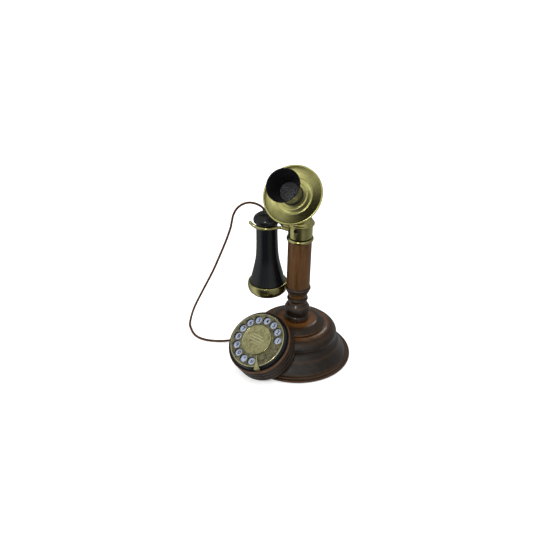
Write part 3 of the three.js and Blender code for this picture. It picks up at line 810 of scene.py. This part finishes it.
sleeve = lathe(
    "sleeve",
    [
        (16.4, SLEEVE_BOTTOM),
        (COLLAR_R, SLEEVE_BOTTOM, 0.5),
        (COLLAR_R, SLEEVE_TOP, 0.4),
        (16.4, SLEEVE_TOP),
    ],
)
carve(
    sleeve,
    [
        box((-30, -6.8, 214), (-8, 6.8, 224.4)),
        rod(PIVOT_R + GAP, -30, 30, move(0, 0, PIVOT_Z) @ ALONG_Y, 32),
    ],
)
soften(sleeve, 0.25, 2, 50)
finish_piece(sleeve, "collar_sleeve_turned", "base", "brass", ["collar_sleeve"], brass_with_painted_seam_shade)
# Faces of the sleeve that look up or down, its ends and the sides of its cuts, are painted dark as shade in
# the seams.
repaint(sleeve, lambda radius, height, normal: abs(normal.z) > 0.5)

cap = lathe(
    "cap",
    [
        (0, SLEEVE_TOP + GAP),
        (19.2, SLEEVE_TOP + GAP),
        *arc(18.6, 231.6, 2.4, -68, 62, 12),
        *smooth([(19, 234.4), (17.8, 236.8), (15.4, 238.8), (12, 240.6), (8.6, COLLAR_CAP_TOP)], 4),
        (0, COLLAR_CAP_TOP),
    ],
)
finish_piece(cap, "collar_cap_turned", "base", "brass", ["collar_cap"])

screw_place = move(0, 0, PIVOT_Z) @ turn(180, "Z") @ ALONG_Y
screw = lathe(
    "screw",
    [(0, -18), (PIVOT_R, -18), (PIVOT_R, 18.7), (2.9, 18.7, 0.2), (2.9, 19.5), (2.4, 20.1), (0, 20.3)],
    screw_place,
    40,
)
carve(screw, [box((-4, -0.35, 19.6), (4, 0.35, 21), screw_place @ turn(35, "Z"))])
finish_piece(screw, "pivot_screw_slotted", "base", "steel", ["pivot_screw"], [dark_screw])


# ---- hook ----
def prong(way):
    line = [
        (-2, STEM_SPREAD, PIVOT_Z - 1.5),
        (-8, STEM_SPREAD, 220.2),
        (-14, STEM_SPREAD, 217.6),
        (-20, STEM_SPREAD, 217.2),
        (-30, STEM_SPREAD + 0.6, FORK_Z + 0.9),
        (-38, 11, FORK_Z + 0.7),
        (-46, 17.3, FORK_Z + 0.2),
        (-54, FORK_SPREAD, FORK_Z),
        (-62, FORK_SPREAD, FORK_Z),
        (-67.5, FORK_SPREAD, FORK_Z + 1.6),
        (-72, FORK_SPREAD, FORK_Z + 4.4),
        (-74, FORK_SPREAD, FORK_Z + 6.2),
    ]
    return sweep("prong", smooth([(x, y * way, z) for x, y, z in line], 6), FORK_ROD_R, 20)


HUB_R = 3.4
hub_place = move(0, 0, PIVOT_Z) @ ALONG_Y
hub_profile = [(PIVOT_R + GAP, -6), (HUB_R, -6, 0.3), (HUB_R, 6, 0.3), (PIVOT_R + GAP, 6)]
hook = lathe("hub", hub_profile, hub_place, 48)
carve(hook, [prong(1), prong(-1)], "UNION")
carve(hook, [rod(PIVOT_R + GAP, -7, 7, hub_place, 48)])
finish_piece(hook, "hook_fork_bent", "hook", "brass", ["hook_lever"], angle=40)

# ---- transmitter ----
EYE_R = 6
tilt_place = move(*TILT_AXIS) @ ALONG_X


def eye_plate(low, high, foot):
    """A plate across X that is round about the tilt axis and runs down to the foot's height."""
    depth = TILT_AXIS.z - foot
    outline = [polar(EYE_R, 180 - 180 * i / 20)[::-1] for i in range(21)]
    outline = [(-z, y) for y, z in outline]
    outline += [(depth, -EYE_R), (depth, EYE_R)]
    return slab(outline, low, high, tilt_place)


perch = lathe(
    "perch",
    [
        (0, COLLAR_CAP_TOP + GAP),
        (8.4, COLLAR_CAP_TOP + GAP),
        (9.6, 244.4, 0.5),
        (9.6, 246.8, 0.6),
        (8, 248.6, 0.4),
        (0, 248.6),
    ],
    segments=72,
)
carve(perch, [eye_plate(4.5, 8, 247), eye_plate(-8, -4.5, 247)], "UNION")
carve(perch, [rod(TILT_HOLE_R, -20, 20, tilt_place, 40)])
finish_piece(soften(perch, 0.4, 3, 40), "transmitter_perch_forked", "base", "brass", ["transmitter_perch"])

SCREW_HEAD_R = 4
knurls = 24
screw_outline = [
    (0, -12), (2.6, -12), (SCREW_HEAD_R, -11.4, 0.3), (SCREW_HEAD_R, -8.4, 0.3), (2, -8.4),
    (2, 8.4), (SCREW_HEAD_R, 8.4, 0.3), (SCREW_HEAD_R, 11.4, 0.3), (2.6, 12), (0, 12),
]
thumb = lathe("thumb", screw_outline, tilt_place, 2 * knurls)
for vertex in thumb.data.vertices:
    reach = math.hypot(vertex.co.x, vertex.co.y)
    turn_step = round(math.degrees(math.atan2(vertex.co.y, vertex.co.x)) / (180 / knurls))
    if reach > 3.9 * MM and turn_step % 2:
        vertex.co.x *= 0.95
        vertex.co.y *= 0.95
finish_piece(thumb, "tilt_screw_knurled", "base", "brass", ["tilt_screw"], angle=25)

cup = lathe(
    "cup",
    [
        (2, CUP_BACK),
        *smooth([(22, CUP_BACK), (28, -26.6), (32, -24), (35, -20.2), (37, -15.5), (38.2, -9.4)], 5),
        (38.1, -9.2, 0.2),
        (36.6, -9.2),
        *smooth([(35.4, -15), (30.6, -22.6), (21.4, CUP_BACK + 1.8)], 5),
        (2, CUP_BACK + 1.8),
    ],
    TRANSMITTER,
)
finish_piece(cup, "transmitter_cup_spun", "transmitter", "brass", ["transmitter_cup"])

hinge = TRANSMITTER.inverted() @ (TILT_AXIS * MM) / MM
lug = lathe(
    "lug",
    [
        (0, CUP_BACK - 3),
        (11, CUP_BACK - 3),
        (12, CUP_BACK - 2, 0.4),
        (12, CUP_BACK - GAP),
        (0, CUP_BACK - GAP),
    ],
    TRANSMITTER,
    64,
)
arm = [polar(EYE_R, 180 + 180 * i / 20) for i in range(21)]
arm_reach = CUP_BACK - 2 - hinge.z
arm_outline = [*arm, (EYE_R, arm_reach), (-EYE_R, arm_reach)]
arm_place = TRANSMITTER @ move(0, hinge.y, hinge.z) @ turn(90, "Z") @ turn(90, "X")
carve(lug, [slab(arm_outline, -4.1, 4.1, arm_place)], "UNION")
carve(lug, [rod(TILT_HOLE_R, -20, 20, TRANSMITTER @ move(0, hinge.y, hinge.z) @ ALONG_X, 40)])
finish_piece(soften(lug, 0.4, 3, 40), "transmitter_lug_cast", "transmitter", "brass", ["transmitter_lug"])

faceplate = lathe(
    "faceplate",
    [
        (9, -10.6),
        (26, -10.4),
        *smooth([(30, -9.9), (34.4, -8.9), (39.6, -6), (41.8, -3.4)], 4),
        *arc(FACEPLATE_R - 1.6, -1.6, 1.6, -45, 150, 12),
        *smooth([(40.9, -2.9), (38.4, -3.9), (34, -5.2), (29.6, -6.1), (27.6, -6.4)], 5),
        (27.1, -6.3, 0.3),
        (26.4, -5.4, 0.5),
        *smooth([(23.4, -5.3), (20.4, -5.2)], 4),
        (19.9, -5, 0.3),
        (19.3, -4.2, 0.4),
        (9, -4.2),
    ],
    TRANSMITTER,
    160,
)
finish_piece(faceplate, "faceplate_spun", "transmitter", "brass", ["faceplate"], [faceplate_brass])

horn_lip = HORN_LENGTH - 0.7
horn_outside = smooth(
    [(15, 2.6), (15.3, 9), (17.3, 19), (20.2, 30), (23, 39.6), (HORN_MOUTH_R, horn_lip)], 7
)
horn_inside = smooth(
    [(23.3, horn_lip), (21.2, 38.4), (18.2, 29), (15.4, 18), (13.4, 8), (12.8, HORN_FOOT)], 7
)
horn = lathe(
    "horn",
    [
        (16, HORN_FOOT),
        (16, 1, 0.8),
        *horn_outside,
        *arc(HORN_MOUTH_R - 0.7, horn_lip, 0.7, 15, 165, 6),
        *horn_inside,
    ],
    TRANSMITTER,
    128,
)
finish_piece(horn, "mouthpiece_turned", "transmitter", "black_gloss", ["mouthpiece"], [horn_black])

GRILLE_BACK = 11.9
GRILLE_FRONT = 13.6
grille = lathe(
    "grille",
    [
        (0, GRILLE_BACK),
        (13.9, GRILLE_BACK),
        (13.9, GRILLE_FRONT, 0.3),
        (12.4, GRILLE_FRONT, 0.2),
        (11.9, GRILLE_FRONT - 0.7),
        (5, GRILLE_FRONT - 0.3),
        (0, GRILLE_FRONT - 0.1),
    ],
    TRANSMITTER,
    72,
)
GRILLE_HOLE_R = 0.95
grille_spots = [(0, 0)]
for count, radius in ((6, 3.5), (12, 6.8), (18, 9.9)):
    grille_spots += [polar(radius, 360 * i / count + 2.1) for i in range(count)]
grille_holes = [
    rod(GRILLE_HOLE_R, GRILLE_BACK - 2, GRILLE_FRONT + 2, TRANSMITTER @ move(x, y, 0), 16)
    for x, y in grille_spots
]
carve(grille, grille_holes)
finish_piece(
    grille,
    "mouthpiece_grille_drilled",
    "transmitter",
    "black_gloss",
    ["mouthpiece_grille"],
    [grille_grey],
)

# ---- receiver ----
SHELL_TOP = 219.9
shell_outside = smooth(
    [
        (27.4, 119.6),
        (25.3, 127.5),
        (21.6, 143),
        (19, 155),
        (17.5, 167),
        (16.7, 184),
        (16.4, 202),
        (16.4, SHELL_TOP),
    ],
    6,
)
shell_inside = smooth(
    [(12.2, 216), (12.6, 190), (14.6, 168), (17.6, 150), (21, 136), (22.4, 124), (22.4, 112)], 5
)
shell = lathe(
    "shell",
    [(24.6, 112), (24.6, 119.6), *shell_outside, (3.4, SHELL_TOP), (3.4, 216), *shell_inside],
    RECEIVER,
    112,
)
finish_piece(shell, "receiver_shell_turned", "receiver", "black_gloss", ["receiver_shell"])

cap_profile = [
    (3.4, SHELL_TOP + GAP),
    (18.6, SHELL_TOP + GAP, 0.4),
    *smooth([(19.9, 221.6), (20.4, 223.4), (20.1, 226.4), (18.9, 229), (17.2, 230.8)], 5),
    (16.6, 231.1),
    (15.9, 230.7),
    (15.2, 231.2),
    *smooth([(14.6, 232.2), (12.2, 233.5), (8, RECEIVER_CAP_TOP)], 5),
    (3.4, RECEIVER_CAP_TOP),
]
receiver_cap = lathe("receiver_cap", cap_profile, RECEIVER, 112)
studs = []
for count, radius, height, size in ((20, 12.2, 233.1, 0.75), (10, 8.8, 233.9, 0.6)):
    for i in range(count):
        spot = RECEIVER @ move(*polar(radius, 360 * i / count + 1.3), height)
        studs.append(lathe("stud", [(0, -1), (size, -1), *arc(0, 0, size, 0, 80, 4), (0, size)], spot, 12))
carve(receiver_cap, studs, "UNION")
finish_piece(receiver_cap, "receiver_cap_studded", "receiver", "black_gloss", ["receiver_cap"])

boot_base = RECEIVER_CAP_TOP + 2
boot = lathe(
    "boot",
    [
        (0, 214),
        (3, 214),
        (3, RECEIVER_CAP_TOP + GAP),
        (5.4, RECEIVER_CAP_TOP + GAP, 0.5),
        (4.4, 236.8, 0.4),
        (0, 236.8),
    ],
    RECEIVER,
    48,
)
nozzle_place = RECEIVER @ move(0, 0, boot_base) @ turn(-BOOT_LEAN, "Y")
nozzle = lathe("nozzle", [(0, 1), (3, 1), (2.6, 6.6, 0.5), (0, 6.6)], nozzle_place, 40)
carve(boot, [nozzle], "UNION")
finish_piece(boot, "receiver_boot_moulded", "receiver", "black_rubber", ["receiver_boot"])

ear_ring = lathe(
    "ear_ring",
    [
        (25, 102.3),
        (26.8, 102.3, 0.4),
        *smooth([(28.3, 103.4), (29.6, 105), (30.9, 108.6), (31.2, 112.4), (31, 115.4), (30.6, 117.8)], 5),
        (30.2, 119.3, 0.9),
        (27.9, 119.2, 0.4),
        (27.6, 118.6),
        (25, 118.6),
    ],
    RECEIVER,
    112,
)
finish_piece(ear_ring, "ear_ring_spun", "receiver", "brass", ["ear_ring"])

earpiece = lathe(
    "earpiece",
    [
        (0, 104.6),
        *smooth([(8, 104.2), (13, 103), (18, 101.6), (22, 100.7)], 4),
        (24, 100.4, 0.4),
        (26, 100.7, 0.5),
        (26, 102.2),
        (24.6, 102.2),
        (24.6, 108),
        (0, 108),
    ],
    RECEIVER,
    96,
)
ear_holes = [rod(1.3, 98, 110, RECEIVER @ move(*polar(6, 60 * i), 0), 20) for i in range(6)]
carve(earpiece, [*ear_holes, rod(1.3, 98, 110, RECEIVER, 20)])
finish_piece(earpiece, "earpiece_turned", "receiver", "black_gloss", ["earpiece"])


# ---- dial ----
def grown(outline):
    """The solid under a base outline, grown by the clearance, to bite out of the housing."""
    wider = [(p[0] + 0.5, p[1]) for p in outline]
    (low_r, low_z), (high_r, high_z) = wider[0], wider[-1]
    lid = [(high_r, high_z + 0.6), (0, high_z + 0.6)]
    return lathe("bite", [(0, low_z - 0.6), (low_r, low_z - 0.6), *wider, *lid], segments=160)


pitch = (DIAL_HOUSING_FRONT - DIAL_HOUSING_BACK) / HOUSING_LANDS
groove_floor = DIAL_HOUSING_R - GROOVE_DEPTH
housing_outline = [(0, DIAL_HOUSING_BACK), (groove_floor, DIAL_HOUSING_BACK)]
worn_lands = []
for land in range(HOUSING_LANDS):
    low = DIAL_HOUSING_BACK + land * pitch
    housing_outline.append((DIAL_HOUSING_R, low + GROOVE_SIDE, 0.7))
    housing_outline.append((DIAL_HOUSING_R, low + pitch - GROOVE_SIDE, 0.7))
    housing_outline.append((groove_floor, low + pitch))
    worn_lands.append((DIAL_HOUSING_R, low + pitch - 1.6, 1.3, 0.2))
# The front land ends in a rounded lip and the bezel's seat, with no groove.
housing_outline[-1] = (DIAL_HOUSING_R - 1.3, DIAL_HOUSING_FRONT, 0.9)
housing_outline += [
    (DIAL_SEAT_R, DIAL_HOUSING_FRONT, 0.6),
    (DIAL_SEAT_R, DIAL_SEAT),
    (30, DIAL_SEAT),
    (30, -28),
    (0, -28),
]
housing = lathe("housing", housing_outline, DIAL, 160)
carve(housing, [grown(SKIRT_OUTER)])
carve(housing, [grown(RING_OUTER)])
carve(housing, [grown(DISC_OUTER)])
carve(housing, [rod(BULB_BITE_R, 60, 95, segments=96), box((-200, -200, -60), (200, 200, 0.6))])
wear(housing, [*worn_lands, (DIAL_HOUSING_R - 0.4, DIAL_HOUSING_FRONT - 0.6, 4.6, 1.2)])
housing_looks = [looks["dark_wood"], groove_painted_shade]
finish_piece(housing, "dial_housing_grooved", "base", "dark_wood", ["dial_housing"], housing_looks)
# Faces 0.9 to 3 mm inside the housing's rim, mostly down in the grooves and partly on the front lip's
# rounding, are painted near black as shade.
repaint(housing, lambda radius, height, normal: DIAL_HOUSING_R - 3 < radius < DIAL_HOUSING_R - 0.9)

bezel_back = DIAL_SEAT + GAP
bezel = lathe(
    "bezel",
    [
        (0, bezel_back),
        (46.4, bezel_back, 0.3),
        *smooth([(46.4, -8.4), (46.3, -6.8), (45.9, -4.8), (45.1, -2.8), (44.5, -1.9)], 5),
        (44.2, -1.8),
        (42.6, -1.9),
        (42.6, -9.4),
        (0, -9.4),
    ],
    DIAL,
    144,
)
finish_piece(bezel, "dial_bezel_moulded", "base", "black_gloss", ["dial_bezel"])

key_spots = [polar(KEY_PITCH_R, KEY_FIRST + KEY_STEP * i) for i in range(12)]


def holes_of(radius):
    """Bars that cut a hole of that radius for every button."""
    return [rod(radius, -5, 3, DIAL @ move(x, y, 0), 48) for x, y in key_spots]


guide = lathe("guide", [(0, GUIDE_BACK), (42.2, GUIDE_BACK), (42.2, -1.9), (0, -1.9)], DIAL, 96)
carve(guide, holes_of(KEY_R + 2 * GAP))
finish_piece(guide, "key_guide_moulded", "base", "black_gloss", ["key_guide"])

plate = lathe(
    "plate",
    [
        (0, -1.6),
        (DIAL_PLATE_R, -1.6),
        (DIAL_PLATE_R, -0.9),
        *arc(DIAL_PLATE_R - 0.9, -0.65, 0.9, 0, 110, 6),
        (41.4, 0),
        (0, 0),
    ],
    DIAL,
    144,
)
carve(plate, holes_of(KEY_HOLE_R))
soften(plate, 0.4, 3, 60)
plate_looks = [plate_brass, rubbed_and_highlit_brass]
finish_piece(plate, "finger_plate_pierced", "base", "antique_brass", ["finger_plate"], plate_looks)
# The holes' sloping lips and the outer rim get the pale brass: rubbed wear with a painted highlight.
repaint(plate, lambda radius, height, normal: 0.15 < normal.z < 0.97 or radius > 42)

dial_disc = lathe(
    "dial_disc",
    [
        (0, GAP),
        (23.6, GAP, 0.3),
        (23.9, 1.2, 0.4),
        (23.5, 2.1, 0.35),
        (22.7, 2.1, 0.35),
        (22.2, 1.3, 0.3),
        (0, 1.5),
    ],
    DIAL,
    112,
)
bar_end = [polar(0.75, a) for a in range(-90, 91, 30)]
bars = []
for row, half in enumerate((8.5, 12.5, 10.5, 6.5)):
    y = 6.6 - 4.4 * row
    outline = [(half + dx, y + dy) for dx, dy in bar_end]
    outline += [(-half - dx, y - dy) for dx, dy in bar_end]
    bars.append(slab(outline, 1.2, 1.95, DIAL))
carve(dial_disc, bars, "UNION")
disc_looks = [looks["antique_brass"], rubbed_and_highlit_brass]
finish_piece(dial_disc, "dial_disc_engraved", "base", "antique_brass", ["dial_disc"], disc_looks)
# The raised bars and the rim get the pale brass: rubbed wear with a painted highlight.
repaint(dial_disc, lambda radius, height, normal: height > 1.9 or radius > 22.3)

key_profile = [
    (0, -5.2),
    (6.7, -5.2, 0.2),
    (6.7, -4.2, 0.2),
    (KEY_R, -4.2),
    (KEY_R, KEY_TOP, 0.6),
    (3.8, KEY_TOP - 0.05),
    (0, KEY_TOP - 0.25),
]
DIGIT_SIZE = 8.8
DIGIT_RISE = 0.12
DIGIT_WEIGHT = 0.24
SIGN_WEIGHT = 0.05


def raised_figure(figure, place):
    """A mesh of one digit or sign that stands a little out of the button's face."""
    text = bpy.data.curves.new("digit", "FONT")
    text.body = figure
    text.size = DIGIT_SIZE * MM
    text.extrude = DIGIT_RISE * MM
    text.offset = (DIGIT_WEIGHT if figure.isdigit() else SIGN_WEIGHT) * MM
    text.align_x = "CENTER"
    text.align_y = "CENTER"
    text.resolution_u = 4
    letters = bpy.data.objects.new("digit", text)
    bpy.context.scene.collection.objects.link(letters)
    letters.matrix_world = place
    bpy.context.view_layer.update()
    depsgraph = bpy.context.evaluated_depsgraph_get()
    outline_mesh = bpy.data.meshes.new_from_object(letters.evaluated_get(depsgraph))
    raised = bpy.data.objects.new("raised", outline_mesh)
    bpy.context.scene.collection.objects.link(raised)
    raised.matrix_world = letters.matrix_world
    bpy.data.objects.remove(letters)
    return mend(raised)


for number, ((x, y), figure) in enumerate(zip(key_spots, "1234567890*#"), 1):
    key = lathe("key", key_profile, DIAL @ move(x, y, 0), 56)
    absorb(key, raised_figure(figure, DIAL @ move(x, y, KEY_TOP - 0.08)), 1)
    name = f"key_{number:02d}"
    finish_piece(key, f"{name}_figured", name, "key_plastic", [name], [looks["key_plastic"], ink])

stop_outline = [polar(48.6, 297 + 1.1 * i) for i in range(11)]
stop_outline += smooth([polar(42, 305.6), polar(36, 304.8), polar(30, 304.2), polar(26, 303.6)], 3)
stop_outline += smooth([polar(26, 300.9), polar(30, 300.2), polar(36, 299.2), polar(42, 298)], 3)
foot = [polar(48.6, a) for a in (298, 302.5, 307)]
foot = [polar(47.6, 298), *foot, polar(47.6, 307), polar(47.6, 302.5)]
stop = slab(stop_outline, GAP, 1.5, DIAL)
carve(stop, [slab(foot, DIAL_HOUSING_FRONT + GAP, 0.9, DIAL)], "UNION")
soften(stop, 0.3, 3, 50)
stop_looks = [looks["antique_brass"], brass_painted_shade]
finish_piece(stop, "finger_stop_bent", "base", "brass", ["finger_stop"], stop_looks)
# The stop's right-hand side is painted dark as shade.
right_side = Vector((*polar(1, 302.5 + 90), 0))
repaint(stop, lambda radius, height, normal: normal.dot(right_side) > 0.5)

# ---- CAD pieces that stay as they are ----
slots = {part["node"]: part["material_slot"] for part in frame["record"]["subparts"]}
for node, obj in frame["nodes"].items():
    if not obj.hide_render:
        obj.data.materials.clear()
        obj.data.materials.append(looks[slots[node]])

# ---- studio ----
FLOOR_HALF = 6000
FLOOR_TOP = -0.2
FLOOR_BOTTOM = -20
floor = box((-FLOOR_HALF, -FLOOR_HALF, FLOOR_BOTTOM), (FLOOR_HALF, FLOOR_HALF, FLOOR_TOP))
floor.name = "floor"
paper, paper_shader, paper_add, paper_link = material(
    "pale_paper", Roughness=0.9, Emission_Color=(1, 1, 1, 1), Emission_Strength=0.35
)
paper_grain = grain_noise(paper_add, (40, 40, 40), 3.0)
paper_tone = ramp(paper_add, paper_grain, (0.3, 0.93), (0.7, 0.95))
paper_link(paper_tone, paper_shader.inputs["Base Color"])
floor.data.materials.append(paper)


LIGHT_TARGET = Vector((0, 0, 0.17))


def softbox(name, bearing, elevation, distance, width, height, power):
    """A lit rectangle, in metres and watts, that faces the middle of the telephone."""
    data = bpy.data.lights.new(name, "AREA")
    data.shape = "RECTANGLE"
    data.size = width
    data.size_y = height
    data.energy = power
    lamp = bpy.data.objects.new(name, data)
    bpy.context.scene.collection.objects.link(lamp)
    level, rise = polar(distance, elevation)
    lamp.location = LIGHT_TARGET + Vector((*polar(level, bearing), rise))
    lamp.rotation_mode = "QUATERNION"
    lamp.rotation_quaternion = (lamp.location - LIGHT_TARGET).to_track_quat("Z", "Y")


softbox("key_softbox", bearing=276, elevation=38, distance=1.5, width=0.2, height=0.26, power=3.6)
softbox("rear_softbox", bearing=95, elevation=38, distance=1.6, width=0.3, height=0.3, power=1.4)

# A broad overhead light keeps the floor white. The gloss doesn't mirror it, or the floor.
overhead_data = bpy.data.lights.new("overhead", "SUN")
overhead_data.energy = 2.5
overhead_data.angle = math.radians(110)
overhead = bpy.data.objects.new("overhead", overhead_data)
bpy.context.scene.collection.objects.link(overhead)
overhead.rotation_euler = (math.radians(8), 0, 0)
overhead.visible_glossy = False
floor.visible_glossy = False

# The studio's brightness by bearing in degrees, below and above eye level, as the gloss mirrors it.
LOW_STUDIO = [
    (0, 0.18), (12, 0.2), (32, 0.26), (72, 0.36), (112, 0.1), (142, 0.18), (172, 0.35), (200, 0.5),
    (218, 0.6), (240, 0.24), (254, 0.04), (288, 0.045), (302, 0.1), (314, 0.24), (330, 0.24),
    (347, 0.15), (360, 0.18),
]
HIGH_STUDIO = [
    (0, 0.3), (40, 0.32), (90, 0.22), (112, 0.14), (135, 0.18), (180, 0.4), (220, 0.6), (258, 0.65),
    (285, 0.6), (310, 0.75), (335, 0.6), (360, 0.3),
]
SEEN_WHITE = (1.05, 1.05, 1.05)
world = bpy.data.worlds.new("studio")
bpy.context.scene.world = world
world.use_nodes = True
sky_add = node_adder(world.node_tree)
direction = sky_add("ShaderNodeTexCoord").outputs["Generated"]
facing = sky_add("ShaderNodeSeparateXYZ", {0: direction}).outputs
bearing = sums(sky_add, "ARCTAN2", facing["Y"], facing["X"])
around = sums(sky_add, "FRACT", sums(sky_add, "DIVIDE", bearing, 2 * math.pi))
low_light = ramp(sky_add, around, *[(degrees / 360, light) for degrees, light in LOW_STUDIO])
high_light = ramp(sky_add, around, *[(degrees / 360, light) for degrees, light in HIGH_STUDIO])
above = sky_add("ShaderNodeMapRange", {"Value": facing["Z"], "From Min": -0.25, "From Max": 0.35})
surround = mix(sky_add, above.outputs["Result"], low_light, high_light)
seen = sky_add("ShaderNodeLightPath").outputs["Is Camera Ray"]
background = world.node_tree.nodes["Background"]
world.node_tree.links.new(mix(sky_add, seen, surround, SEEN_WHITE), background.inputs["Color"])
bpy.context.scene.view_settings.view_transform = "Standard"
